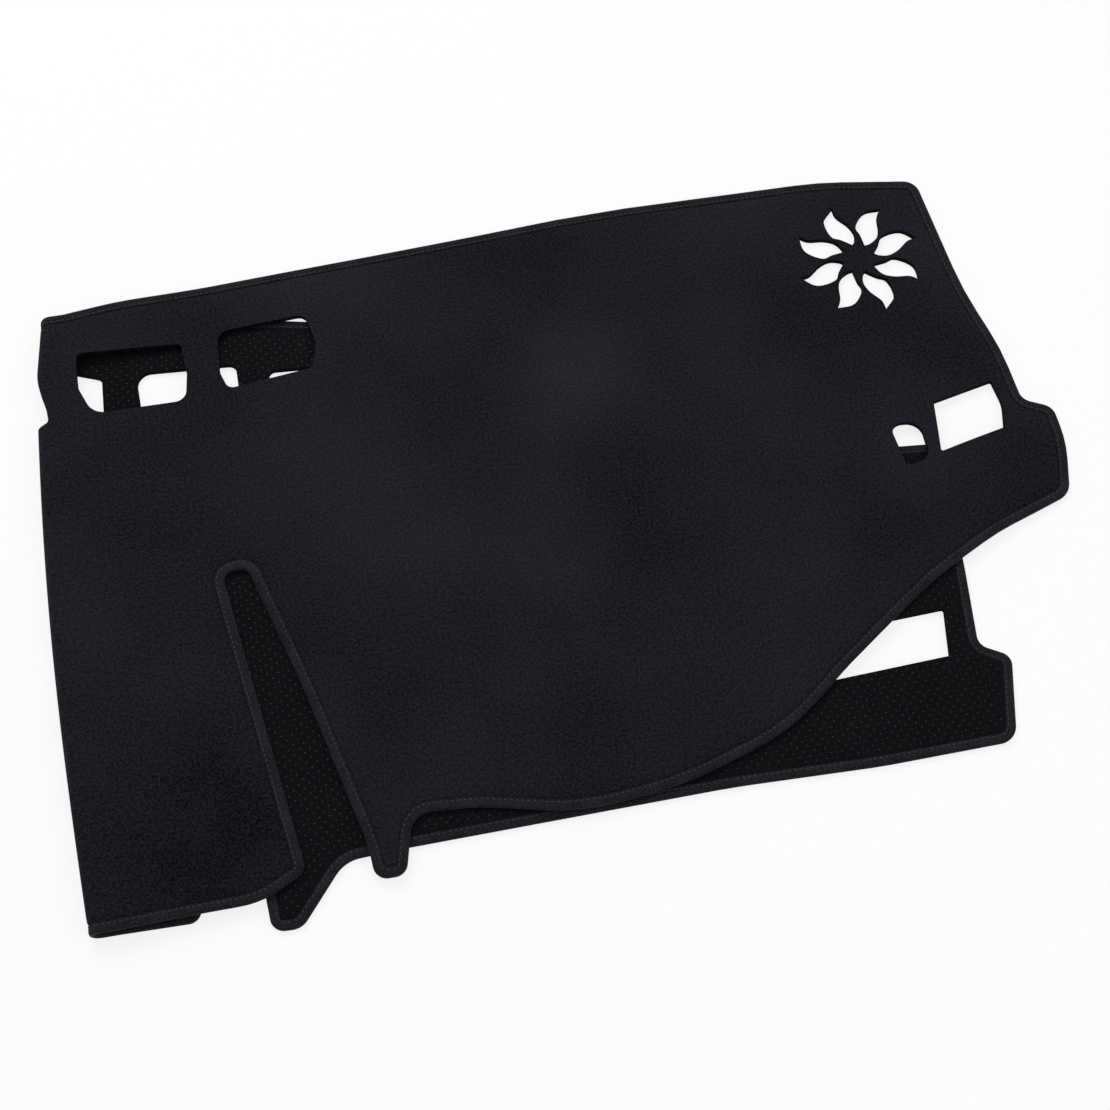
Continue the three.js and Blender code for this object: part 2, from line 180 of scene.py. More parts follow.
def rounded_loop(corners, longest, arc_step=math.radians(6)):
    """A closed outline with rounded corners, split into stretches no longer than longest."""
    at = np.array([(u, v) for u, v, _ in corners], float)
    raw = []
    for i, (_, _, radius) in enumerate(corners):
        here = at[i]
        back = at[i - 1] - here
        ahead = at[(i + 1) % len(at)] - here
        room = CORNER_SHARE * min(np.hypot(*back), np.hypot(*ahead))
        back /= np.hypot(*back)
        ahead /= np.hypot(*ahead)
        half = math.acos(np.clip(back @ ahead, -1, 1)) / 2
        reach = min(radius / math.tan(half), room)
        r = reach * math.tan(half)
        middle = back + ahead
        centre = here + middle / np.hypot(*middle) * r / math.sin(half)
        start = here + back * reach - centre
        end = here + ahead * reach - centre
        turn = math.atan2(start[0] * end[1] - start[1] * end[0], start @ end)
        steps = max(1, math.ceil(abs(turn) / arc_step))
        for k in range(steps + 1):
            c, s = math.cos(turn * k / steps), math.sin(turn * k / steps)
            raw.append(centre + (start[0] * c - start[1] * s, start[0] * s + start[1] * c))
    raw = np.array(raw)
    ends = np.roll(raw, -1, 0)
    pieces = np.ceil(np.hypot(*(widened(ends) - widened(raw)).T) / longest).astype(int)
    out = [p + (q - p) * k / n for p, q, n in zip(raw, ends, pieces) for k in range(max(n, 1))]
    out = np.array(out)
    gap = np.hypot(*(np.roll(out, -1, 0) - out).T)
    return out[gap > SHORTEST_STRETCH]


def inset_loop(loop, distance):
    """Each point moved square to the loop, inwards on an anticlockwise outline."""
    a = loop - np.roll(loop, 1, 0)
    b = np.roll(loop, -1, 0) - loop
    a /= np.hypot(*a.T)[:, None]
    b /= np.hypot(*b.T)[:, None]
    along = a + b
    along /= np.hypot(*along.T)[:, None]
    mitre = distance / np.maximum(MITRE_LIMIT, (along * b).sum(1))
    return loop + np.stack([-along[:, 1] * mitre, along[:, 0] * mitre], 1)


def inside(loop, points):
    """Which points lie inside a closed loop."""
    odd = np.zeros(len(points), bool)
    low, high = loop.min(0), loop.max(0)
    near = np.nonzero(((points >= low) & (points <= high)).all(1))[0]
    x, y = points[near].T
    hit = np.zeros(len(near), bool)
    for (ax, ay), (bx, by) in zip(loop, np.roll(loop, 1, 0)):
        if ay != by:
            hit ^= ((ay > y) != (by > y)) & (x < (bx - ax) * (y - ay) / (by - ay) + ax)
    odd[near] = hit
    return odd


def distance_to_loop(loop, points):
    """Distance of each point from a closed loop's stretches."""
    best = np.full(len(points), np.inf)
    for a, b in zip(loop, np.roll(loop, -1, 0)):
        d = b - a
        t = np.clip(((points - a) @ d) / (d @ d), 0, 1)
        best = np.minimum(best, np.hypot(*(points - a - t[:, None] * d).T))
    return best


def catmull_rom(points, steps):
    """Evenly counted points on a smooth curve through the given ones."""
    p = np.array(points, float)
    p = np.vstack([2 * p[0] - p[1], p, 2 * p[-1] - p[-2]])
    out = []
    for k in range(steps + 1):
        t = k / steps * (len(p) - 3)
        i = min(int(t), len(p) - 4)
        t -= i
        a, b, c, d = p[i : i + 4]
        square = 2 * a - 5 * b + 4 * c - d
        cube = 3 * b - a - 3 * c + d
        out.append(0.5 * (2 * b + (c - a) * t + square * t**2 + cube * t**3))
    return np.array(out)


def flame_loop(index):
    """One flame of the sun cut over the loudspeaker."""
    tip = SUN_TIP_ANGLE - index * 360 / SUN_FLAMES

    def side(shape):
        polar = [(share * SUN_RADIUS, math.radians(tip + degrees)) for share, degrees in shape]
        flat = [(SUN_CENTRE[0] + r * math.cos(a), SUN_CENTRE[1] + r * math.sin(a)) for r, a in polar]
        return catmull_rom(flat, FLAME_SIDE_STEPS)[:-1]

    return np.vstack([side(FLAME_RETURNING), side(FLAME_RISING)])


class Pattern:
    """The flat cut, and the height at which its upper half lies."""

    def __init__(self, step):
        self.outline = rounded_loop(UPPER_OUTLINE + UNDER_OUTLINE, step)
        self.coarse = rounded_loop(UPPER_OUTLINE + UNDER_OUTLINE, COARSE_STEP, COARSE_ARC)
        self.openings = [rounded_loop(c, step) for c in VENTS + END_OPENINGS]
        self.openings += [flame_loop(k) for k in range(SUN_FLAMES)]
        under = self.coarse[self.coarse[:, 0] < 0]
        self.footprint = under * (-1, 1)
        self.low = np.array([0.0, self.coarse[:, 1].min() - HEIGHT_GRID])
        self.count = np.ceil((self.coarse.max(0) - self.low) / HEIGHT_GRID).astype(int) + 2
        across, along = (self.low[k] + HEIGHT_GRID * np.arange(self.count[k]) for k in (0, 1))
        u, v = np.meshgrid(across, along, indexing="ij")
        self.heights = self.height(np.stack([u.ravel(), v.ravel()], 1)).reshape(u.shape)

    def height(self, points):
        """Height of the upper half's backing over the floor."""
        from_fold = points[:, 0] - BEND_HALF_LENGTH
        relax = smooth(0, FOLD_RELAX_LENGTH, from_fold)
        on_layer = CARPET_THICKNESS + LAYER_GAP
        height = on_layer + (2 * TURN_RADIUS - LAYER_GAP) * (1 - relax)
        off = np.where(inside(self.footprint, points), 0, distance_to_loop(self.footprint, points)) * relax
        return height + (SAG_FLOOR_GAP - on_layer) * smooth(0, SAG_LENGTH, off)

    def height_at(self, u, v):
        """The same height, read between the points of a grid."""
        x = np.clip((u - self.low[0]) / HEIGHT_GRID, 0, self.count[0] - 1.001)
        y = np.clip((v - self.low[1]) / HEIGHT_GRID, 0, self.count[1] - 1.001)
        i, j = x.astype(int), y.astype(int)
        x, y = x - i, y - j
        h = self.heights
        near = h[i, j] * (1 - x) + h[i + 1, j] * x
        far = h[i, j + 1] * (1 - x) + h[i + 1, j + 1] * x
        return near * (1 - y) + far * y

    def lay(self, u, v, w):
        """The folded places, in millimetres, of pattern points at height w above the backing."""
        u, v, w = (np.asarray(a, float) for a in np.broadcast_arrays(u, v, w))
        bow = FOLD_BOW * np.sin(math.pi * v / FOLD_LENGTH)
        draw = FOLD_DRAW * smooth(FOLD_LENGTH - FOLD_DRAW_LENGTH, FOLD_LENGTH, v)
        shift = (draw - bow) * (1 - smooth(0, FOLD_BOW_REACH, np.abs(u)))
        turn = np.clip(u, -BEND_HALF_LENGTH, BEND_HALF_LENGTH) / TURN_RADIUS
        radius = TURN_RADIUS + w
        in_bend = np.abs(u) < BEND_HALF_LENGTH
        x = np.where(in_bend, -radius * np.cos(turn), np.abs(u) - BEND_HALF_LENGTH) + shift
        flat_z = np.where(u < 0, CARPET_THICKNESS - w, self.height_at(np.maximum(u, 0), v) + w)
        z = np.where(in_bend, CARPET_THICKNESS + TURN_RADIUS + radius * np.sin(turn), flat_z)
        return np.stack([x, v, z], -1)

    def area(self):
        """Flat area of the cut, without its openings, in square millimetres."""

        def shoelace(p):
            q = np.roll(p, -1, 0)
            return abs((p[:, 0] * q[:, 1] - p[:, 1] * q[:, 0]).sum()) / 2

        return shoelace(self.outline) - sum(shoelace(o) for o in self.openings)


def origin_shift():
    """From the fold's own axes to the row frame, read from where the solids lie."""
    boxes = [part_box(node) for node in ("carpet_sheet", "edge_binding")]
    low = np.min([b[0] for b in boxes], 0)
    fold_x = -(TURN_RADIUS + CARPET_THICKNESS + FOLD_BOW) * MM
    v = rounded_loop(UPPER_OUTLINE + UNDER_OUTLINE, 50.0)[:, 1]
    return np.array([low[0] - fold_x, -(v.min() + v.max()) / 2 * MM, low[2]])


def linear(colour):
    """A colour property's sRGB value as Blender's linear one."""
    c = np.array(colour[:3], float)
    return (*np.where(c <= 0.04045, c / 12.92, ((c + 0.055) / 1.055) ** 2.4), 1.0)


def srgb(text):
    """A hex colour such as "1b1a1e" as three sRGB shares."""
    return tuple(int(text[i : i + 2], 16) / 255 for i in (0, 2, 4))


def open_edges(faces):
    """Edges that only one face has, in that face's direction."""
    single = {}
    for face in faces:
        for p, q in zip(face, face[1:] + face[:1]):
            if (q, p) in single:
                del single[(q, p)]
            else:
                single[(p, q)] = True
    return list(single)


def stitch_faces(first, rings, sides):
    """Faces of one stitch, a closed tube that starts at the given point."""
    faces = []
    for ring in range(rings - 1):
        for k in range(sides):
            a = first + ring * sides + k
            b = first + ring * sides + (k + 1) % sides
            faces.append((a, a + sides, b + sides, b))
    faces.append(tuple(first + k for k in range(sides)))
    faces.append(tuple(first + (rings - 1) * sides + k for k in reversed(range(sides))))
    return faces


def make_mesh(name, points, faces, materials, slots=None, uv=None):
    """A mesh piece in the row frame. uv holds one pair for each vertex."""
    mesh = bpy.data.meshes.new(name)
    mesh.from_pydata((points * MM + origin_shift()).tolist(), [], [tuple(f) for f in faces])
    for material in materials:
        mesh.materials.append(material)
    if slots is not None:
        mesh.polygons.foreach_set("material_index", np.asarray(slots, np.int32))
    mesh.polygons.foreach_set("use_smooth", np.full(len(mesh.polygons), True))
    if uv is not None:
        corners = np.empty(len(mesh.loops), np.int32)
        mesh.loops.foreach_get("vertex_index", corners)
        layer = mesh.uv_layers.new(name="flat_pattern")
        layer.uv.foreach_set("vector", np.asarray(uv, np.float32)[corners].ravel())
    mesh.validate()
    mesh.update()
    piece = bpy.data.objects.new(name, mesh)
    bpy.context.collection.objects.link(piece)
    return piece


def add(tree, kind, links=(), **settings):
    """Adds a shader node. Settings name attributes or input sockets; links are (socket, source output)."""
    node = tree.nodes.new(kind)
    for key, value in settings.items():
        if hasattr(node, key):
            setattr(node, key, value)
            continue
        socket = key.replace("_", " ").lower()
        matching = [s for s in node.inputs if s.name.lower() == socket]
        matching[0].default_value = value
    for socket, source in links:
        tree.links.new(source, node.inputs[socket])
    return node


def new_material(name, **surface):
    """A material with one Principled shader, and its tree."""
    material = bpy.data.materials.new(name)
    material.use_nodes = True
    tree = material.node_tree
    tree.nodes.clear()
    shader = add(tree, "ShaderNodeBsdfPrincipled", **surface)
    add(tree, "ShaderNodeOutputMaterial", links=[("Surface", shader.outputs[0])])
    return material, tree, shader


def speckle(tree, shader, dark, light, grain, patch, depth, patch_share=0.5, with_painted_light=False):
    """Colour that varies in fine grain and in soft patches, with the grain as bump, and, if asked, with
    patches of painted highlight and shade added to the soft ones. Sizes in millimetres.
    """
    uv = add(tree, "ShaderNodeUVMap", uv_map="flat_pattern").outputs[0]
    fine = add(tree, "ShaderNodeTexNoise", [("Vector", uv)], Scale=1000 / grain, Detail=3.0, Roughness=0.65)
    soft = add(tree, "ShaderNodeTexNoise", [("Vector", uv)], Scale=1000 / patch, Detail=2.0, Roughness=0.5)
    spread = add(tree, "ShaderNodeMapRange", [("Value", fine.outputs[0])], From_Min=0.4, From_Max=0.6)
    clouds = add(tree, "ShaderNodeMapRange", [("Value", soft.outputs[0])], From_Min=0.35, From_Max=0.68)
    cloud = clouds.outputs[0]
    # Painted highlights and shade join the soft patches here
    if with_painted_light:
        cloud = add_painted_light_patches(tree, uv, cloud)
    both = add(tree, "ShaderNodeMix", [(2, spread.outputs[0]), (3, cloud)], data_type="FLOAT")
    both.inputs[0].default_value = patch_share
    # Unclamped, so that the grain still shows inside the painted highlights
    colour = add(tree, "ShaderNodeMix", [(0, both.outputs[0])], data_type="RGBA", clamp_factor=False)
    colour.inputs[6].default_value = linear(dark)
    colour.inputs[7].default_value = linear(light)
    tree.links.new(colour.outputs[2], shader.inputs["Base Color"])
    bump = add(tree, "ShaderNodeBump", [("Height", fine.outputs[0])], Strength=1.0, Distance=depth * MM)
    tree.links.new(bump.outputs[0], shader.inputs["Normal"])
    return bump


def add_painted_light_patches(tree, uv, cloud):
    """Adds the painted highlight and shade patches to the soft cloud of the pile."""
    total = cloud
    for u, v, radius, strength in PAINTED_LIGHT_PATCHES:
        far = add(tree, "ShaderNodeVectorMath", [(0, uv)], operation="DISTANCE")
        far.inputs[1].default_value = (u * MM, v * MM, 0)
        distance = [("Value", far.outputs["Value"])]
        near = add(tree, "ShaderNodeMapRange", distance, interpolation_type="SMOOTHSTEP")
        near.inputs["From Max"].default_value = radius * MM
        near.inputs["To Min"].default_value = strength
        near.inputs["To Max"].default_value = 0
        total = add(tree, "ShaderNodeMath", [(0, total), (1, near.outputs[0])], operation="ADD").outputs[0]
    return total


def pile_material(colours):
    """Polyester cut pile, heat-set: matt near-black with a faint violet cast, with painted highlight and shade
    patches in its colour. Gives the eye a fine nap.
    """
    material, tree, shader = new_material(
        "cut_pile_polyester",
        Roughness=0.95,
        Specular_IOR_Level=0.08,
        Sheen_Weight=0.12,
        Sheen_Roughness=0.45,
        Sheen_Tint=linear(colours.nap),
    )
    speckle(
        tree,
        shader,
        colours.pile_dark,
        colours.pile_light,
        grain=1.9,
        patch=150,
        depth=1.2,
        patch_share=0.4,
        # Painted highlights and shade in soft patches on the pile's colour
        with_painted_light=True,
    )
    return material


def backing_material(colours):
    """Needled felt with a rubber wash: flat, darker than the pile. Gives the dots a dull ground."""
    material, tree, shader = new_material("needled_felt_backing", Roughness=0.9, Specular_IOR_Level=0.06)
    ground, fleck = colours.backing, colours.pile_dark
    speckle(tree, shader, ground, fleck, grain=1.2, patch=40, depth=0.35, patch_share=0.2)
    return material


def cut_edge_material(colours):
    """The sheet's raw cut: fibre ends, dark and fuzzy."""
    material, tree, shader = new_material("raw_cut_fibre", Roughness=1.0, Specular_IOR_Level=0.05)
    speckle(tree, shader, colours.backing, colours.pile_dark, grain=0.9, patch=15, depth=0.8, patch_share=0.2)
    return material


def tape_material(colours):
    """Woven polyester tape: satin ribs across the strip, a shade paler than the pile."""
    material, tree, shader = new_material(
        "woven_polyester_tape", Roughness=0.8, Specular_IOR_Level=0.1, Sheen_Weight=0.08, Sheen_Roughness=0.4
    )
    shade, yarn = colours.pile_dark, colours.tape
    bump = speckle(tree, shader, shade, yarn, grain=1.4, patch=20, depth=0.25, patch_share=0.3)
    uv = next(n for n in tree.nodes if n.type == "UVMAP").outputs[0]
    ribs = add(
        tree,
        "ShaderNodeTexWave",
        [("Vector", uv)],
        wave_type="BANDS",
        bands_direction="X",
        Scale=1000 / RIB_PITCH / (2 * math.pi) * 2,
        Distortion=0.4,
    )
    rib_bump = add(
        tree,
        "ShaderNodeBump",
        [("Height", ribs.outputs[1]), ("Normal", bump.outputs[0])],
        Strength=0.7,
        Distance=0.25 * MM,
    )
    tree.links.new(rib_bump.outputs[0], shader.inputs["Normal"])
    return material


def thread_material(colours):
    """Bonded polyester sewing thread: round, with a slight gloss on each stitch."""
    material, tree, shader = new_material("bonded_thread", Roughness=0.45, Specular_IOR_Level=0.45)
    shader.inputs["Base Color"].default_value = linear(colours.thread)
    grain = add(tree, "ShaderNodeTexNoise", Scale=1000 / 0.5)
    place = add(tree, "ShaderNodeTexCoord")
    tree.links.new(place.outputs["Object"], grain.inputs["Vector"])
    bump = add(tree, "ShaderNodeBump", [("Height", grain.outputs[0])], Strength=0.4, Distance=0.1 * MM)
    tree.links.new(bump.outputs[0], shader.inputs["Normal"])
    return material


def dot_material(colours):
    """Printed soft PVC drops: smooth and glossy, so each one holds a pin-point highlight."""
    material, tree, shader = new_material("printed_pvc_drops", Roughness=0.25, Specular_IOR_Level=0.22)
    place = add(tree, "ShaderNodeTexCoord")
    mottle = add(tree, "ShaderNodeTexNoise", [("Vector", place.outputs["Object"])], Scale=1000 / 9)
    colour = add(tree, "ShaderNodeMix", [(0, mottle.outputs[0])], data_type="RGBA")
    colour.inputs[6].default_value = linear(colours.backing)
    colour.inputs[7].default_value = linear(colours.dots)
    tree.links.new(colour.outputs[2], shader.inputs["Base Color"])
    return material


class MatSizes(bpy.types.PropertyGroup):
    """Sizes that a maker would change."""

    mesh_step: FloatProperty(
        name="Mesh step", description="Edge length of the carpet's mesh", default=6 * MM, unit="LENGTH"
    )
    tape_step: FloatProperty(
        name="Tape step", description="Distance between sections of the tape", default=3 * MM, unit="LENGTH"
    )
    stitch_pitch: FloatProperty(
        name="Stitch pitch", description="Distance from stitch to stitch", default=4 * MM, unit="LENGTH"
    )
    stitch_length: FloatProperty(
        name="Stitch length", description="Thread seen in one stitch", default=3.1 * MM, unit="LENGTH"
    )
    thread_radius: FloatProperty(
        name="Thread radius", description="Half the thread's thickness", default=0.3 * MM, unit="LENGTH"
    )
    dot_pitch: FloatProperty(
        name="Dot pitch", description="Distance between grip dots", default=5.2 * MM, unit="LENGTH"
    )
    dot_radius: FloatProperty(
        name="Dot radius", description="Radius of one grip dot", default=0.65 * MM, unit="LENGTH"
    )
    dot_height: FloatProperty(
        name="Dot height", description="How far a grip dot stands out", default=0.3 * MM, unit="LENGTH"
    )
    gather: FloatProperty(
        name="Gather", description="How far the tape puckers at its stitches", default=0.14 * MM, unit="LENGTH"
    )
    seed: IntProperty(name="Seed", description="Start of the small irregularities", default=7)


def colour_property(name, text, description):
    """A colour that a user can change, with its default as a hex text."""
    return FloatVectorProperty(
        name=name, description=description, subtype="COLOR_GAMMA", size=3, min=0, max=1, default=srgb(text)
    )


class MatColours(bpy.types.PropertyGroup):
    """Colours in sRGB."""

    pile_dark: colour_property("Pile, dark", "060608", "Shaded fibres of the pile")
    pile_light: colour_property("Pile, light", "25232b", "Fibre tips of the pile")
    nap: colour_property("Nap", "8f8c9c", "Tint of the nap where light grazes it")
    backing: colour_property("Backing", "141318", "Felt side of the sheet")
    tape: colour_property("Tape", "27252c", "Edge tape")
    thread: colour_property("Thread", "2f2d36", "Sewing thread of the edge")
    dots: colour_property("Grip dots", "1a191d", "Printed drops on the backing")
    floor: colour_property("Floor", "f4f4f4", "Studio floor")


class MAT_OT_carpet(bpy.types.Operator):
    """Builds the folded carpet sheet with all its openings"""

    bl_idname = "dashmat.carpet"
    bl_label = "Carpet sheet"

    def execute(self, context):
        sizes, colours = context.scene.mat_sizes, context.scene.mat_colours
        step = sizes.mesh_step / MM
        pattern = Pattern(step * OUTLINE_STEP_SHARE)
        rows = [inset_loop(pattern.outline, inset) for inset, _, _ in RIM_ROWS]
        field = rows[-1]
        flat, low, high, tri = self.field(pattern, field, step)
        stations = len(field)
        above = len(rows) - 1
        count = above * stations
        u = np.concatenate([np.vstack(rows[:-1]), flat])
        lows = np.concatenate([np.repeat([r[1] for r in RIM_ROWS[:-1]], stations), low])
        highs = np.concatenate([np.repeat([r[2] for r in RIM_ROWS[:-1]], stations), high])
        faces = [tuple(i + count for i in t) for t in tri]
        nxt = (np.arange(stations) + 1) % stations
        for row in range(above):
            a = row * stations + np.arange(stations)
            b = row * stations + nxt
            faces += zip(a.tolist(), b.tolist(), (b + stations).tolist(), (a + stations).tolist())
        total = len(u)
        walls = [(q, p, p + total, q + total) for p, q in open_edges(faces)]
        waves = np.array([noise.noise(Vector((a / WAVE_LENGTH, b / WAVE_LENGTH, WAVE_LAYER))) for a, b in u])
        lift = WAVE_HEIGHT * waves * (u[:, 0] > FOLD_RELAX_LENGTH)
        top = pattern.lay(u[:, 0], u[:, 1], highs + lift)
        bottom = pattern.lay(u[:, 0], u[:, 1], lows)
        mesh_faces = faces + [tuple(i + total for i in reversed(f)) for f in faces] + walls
        slots = [0] * len(faces) + [1] * len(faces) + [2] * len(walls)
        uv = np.vstack([u, u]) * MM
        piece = make_mesh(
            "folded_carpet",
            np.vstack([top, bottom]),
            mesh_faces,
            [pile_material(colours), backing_material(colours), cut_edge_material(colours)],
            slots,
            uv,
        )
        piece.modifiers.new("crisp_cuts", "EDGE_SPLIT").split_angle = CRISP_ANGLE
        bpy.context.view_layer.objects.active = piece
        piece.select_set(True)
        bpy.ops.object.modifier_apply(modifier="crisp_cuts")
        piece.select_set(False)
        piece["flat_area"] = pattern.area() * MM * MM
        span = np.ptp(pattern.outline, 0) * MM
        piece["flat_span"] = [float(span[0]), float(span[1])]
        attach(piece, "root")
        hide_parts("carpet_sheet")
        return {"FINISHED"}

    def field(self, pattern, rim, step):
        """Flat points inside the rim's last row, their two heights, and the triangles between them."""
        wide_low, wide_high = widened(pattern.outline).min(0), widened(pattern.outline).max(0)
        columns, lines = (np.arange(wide_low[k], wide_high[k], step) for k in (0, 1))
        grid = np.stack(np.meshgrid(columns, lines), -1).reshape(-1, 2)
        wide_bend = BEND_HALF_LENGTH * BEND_STRETCH
        grid[:, 0] -= np.clip(grid[:, 0], -wide_bend, wide_bend) * (1 - 1 / BEND_STRETCH)
        keep = inside(rim, grid)
        for loop in pattern.openings:
            keep &= ~inside(loop, grid)
        grid = grid[keep]
        spaced = distance_to_loop(rim[::3], grid) > RIM_CLEARANCE * step
        for loop in pattern.openings:
            close = (np.abs(grid - loop.mean(0)) < np.ptp(loop, 0) / 2 + 2 * step).all(1)
            spaced[close] &= distance_to_loop(loop, grid[close]) > OPENING_CLEARANCE * step
        flat = np.vstack([rim, *pattern.openings, grid[spaced]])
        edges, at = [], 0
        for loop in [rim, *pattern.openings]:
            n = len(loop)
            edges += [(at + i, at + (i + 1) % n) for i in range(n)]
            at += n
        wide = widened(flat)
        corners = [Vector(p) for p in wide.tolist()]
        verts, _, tris, origin, _, _ = delaunay_2d_cdt(corners, edges, [], 0, MERGE_DISTANCE)
        if len(verts) != len(flat):
            raise RuntimeError("the carpet's outlines cross each other")
        back = [o[0] for o in origin]
        tris = np.array([[back[i] for i in t] for t in tris])
        middle = wide[tris].mean(1)
        kept = inside(widened(rim), middle)
        for loop in pattern.openings:
            kept &= ~inside(widened(loop), middle)
        tris = tris[kept]
        a, b, c = (wide[tris[:, k]] for k in range(3))
        turn = (b[:, 0] - a[:, 0]) * (c[:, 1] - a[:, 1]) - (b[:, 1] - a[:, 1]) * (c[:, 0] - a[:, 0])
        tris[turn < 0] = tris[turn < 0][:, ::-1]
        high = np.full(len(flat), CARPET_THICKNESS)
        high[: len(rim)] = RIM_ROWS[-1][2]
        low = np.zeros(len(flat))
        return flat, low, high, tris.tolist()


class MAT_OT_edge_tape(bpy.types.Operator):
    """Builds the woven tape folded over the whole edge, drawn in along its stitches"""

    bl_idname = "dashmat.edge_tape"
    bl_label = "Edge tape"

    def execute(self, context):
        sizes, colours = context.scene.mat_sizes, context.scene.mat_colours
        pattern = Pattern(sizes.tape_step / MM)
        loop = pattern.outline
        run = np.concatenate([[0], np.cumsum(np.hypot(*(np.roll(loop, -1, 0) - loop).T))])
        pucker = np.array([noise.noise(Vector((s / PUCKER_LENGTH, sizes.seed, 0))) for s in run[:-1]])
        pucker *= sizes.gather / MM
        half = CARPET_THICKNESS / 2
        rows, uv = [], []
        across = 0.0
        for k, (inset, w) in enumerate(TAPE_SECTION):
            if k:
                across += math.dist(TAPE_SECTION[k - 1], (inset, w))
            flat = inset_loop(loop, inset)
            face = 1 if w > half else -1
            gathered = PUCKER_FROM < inset < PUCKER_TO
            puffed = np.clip(w + face * pucker * gathered, 0, CARPET_THICKNESS)
            rows.append(pattern.lay(flat[:, 0], flat[:, 1], puffed))
            uv.append(np.stack([run[:-1], np.full(len(loop), across)], 1) * MM)
        points = np.concatenate(rows)
        n, m = len(loop), len(TAPE_SECTION)
        s = np.arange(n)
        faces = []
        for k in range(m):
            a, b = k * n, ((k + 1) % m) * n
            corners = (a + s, b + s, b + (s + 1) % n, a + (s + 1) % n)
            faces += zip(*(corner.tolist() for corner in corners))
        piece = make_mesh("edge_tape", points, faces, [tape_material(colours)], None, np.concatenate(uv))
        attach(piece, "root")
        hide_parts("edge_binding")
        return {"FINISHED"}


class MAT_OT_stitching(bpy.types.Operator):
    """Builds the row of stitches that holds the tape, on both faces"""

    bl_idname = "dashmat.stitching"
    bl_label = "Edge stitching"

    def execute(self, context):
        sizes, colours = context.scene.mat_sizes, context.scene.mat_colours
        pattern = Pattern(sizes.tape_step / MM)
        loop = inset_loop(pattern.outline, STITCH_INSET)
        closed = np.vstack([loop, loop[:1]])
        run = np.concatenate([[0], np.cumsum(np.hypot(*np.diff(closed, axis=0).T))])
        count = int(run[-1] / (sizes.stitch_pitch / MM))
        starts = np.arange(count) * run[-1] / count
        stops, dips, swell = np.array(STITCH_RINGS).T
        stops = stops * sizes.stitch_length / MM
        swell = swell * sizes.thread_radius / MM
        rings = len(STITCH_RINGS)
        at = (starts[:, None] + stops) % run[-1]
        flat = np.stack([np.interp(at, run, closed[:, k]) for k in (0, 1)], -1)
        further = (at + THREAD_LOOK_AHEAD) % run[-1]
        ahead = np.stack([np.interp(further, run, closed[:, k]) for k in (0, 1)], -1) - flat
        ahead /= np.linalg.norm(ahead, axis=-1, keepdims=True)
        side = np.stack([-ahead[..., 1], ahead[..., 0]], -1)
        points, faces = [], []
        for number, (height, face) in enumerate(STITCH_FACES):
            lines = []
            for turn in np.arange(THREAD_SIDES) * 2 * math.pi / THREAD_SIDES:
                place = flat + side * (math.cos(turn) * swell)[None, :, None]
                high = np.broadcast_to(height + face * dips + math.sin(turn) * swell, at.shape)
                lines.append(pattern.lay(place[..., 0], place[..., 1], high))
            points.append(np.stack(lines, 2).reshape(-1, 3))  # by stitch, ring and side
            for stitch in range(count):
                first = (number * count + stitch) * rings * THREAD_SIDES
                faces += stitch_faces(first, rings, THREAD_SIDES)
        piece = make_mesh("edge_stitching", np.vstack(points), faces, [thread_material(colours)])
        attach(piece, "root")
        return {"FINISHED"}


class MAT_OT_grip_dots(bpy.types.Operator):
    """Prints the small grip dots on the backing"""

    bl_idname = "dashmat.grip_dots"
    bl_label = "Grip dots"

    def execute(self, context):
        sizes, colours = context.scene.mat_sizes, context.scene.mat_colours
        pattern = Pattern(DOT_OUTLINE_STEP)
        pitch, radius = sizes.dot_pitch / MM, sizes.dot_radius / MM
        reach = int(1.2 * np.ptp(pattern.outline, 0).max() / pitch)
        i, j = np.meshgrid(np.arange(-reach, reach), np.arange(-reach, reach))
        middle = pattern.outline.mean(0)
        turned = pitch / math.sqrt(2)
        dots = np.stack([(i - j).ravel() * turned, (i + j).ravel() * turned], 1) + middle
        dots = dots[inside(inset_loop(pattern.outline, RIM_ROWS[-1][0] + radius), dots)]
        for loop in pattern.openings:
            near = (np.abs(dots - loop.mean(0)) < np.ptp(loop, 0) / 2 + 2 * pitch).all(1)
            away = np.ones(len(dots), bool)
            away[near] = ~inside(loop, dots[near]) & (distance_to_loop(loop, dots[near]) > 1.5 * radius)
            dots = dots[away]
        turns = np.arange(DOT_SIDES) * 2 * math.pi / DOT_SIDES
        ring = np.stack([np.cos(turns), np.sin(turns)], 1) * radius
        rim = dots[:, None] + ring
        rims = pattern.lay(rim[..., 0], rim[..., 1], DOT_SINK)
        tops = pattern.lay(dots[:, 0], dots[:, 1], -sizes.dot_height / MM)[:, None]
        points = np.concatenate([rims, tops], 1).reshape(-1, 3)
        first = (np.arange(len(dots)) * (DOT_SIDES + 1))[:, None]
        faces = []
        for k in range(DOT_SIDES):
            tri = np.concatenate([first + (k + 1) % DOT_SIDES, first + k, first + DOT_SIDES], 1)
            faces += tri.tolist()
        piece = make_mesh("grip_dots", points, faces, [dot_material(colours)])
        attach(piece, "root")
        return {"FINISHED"}


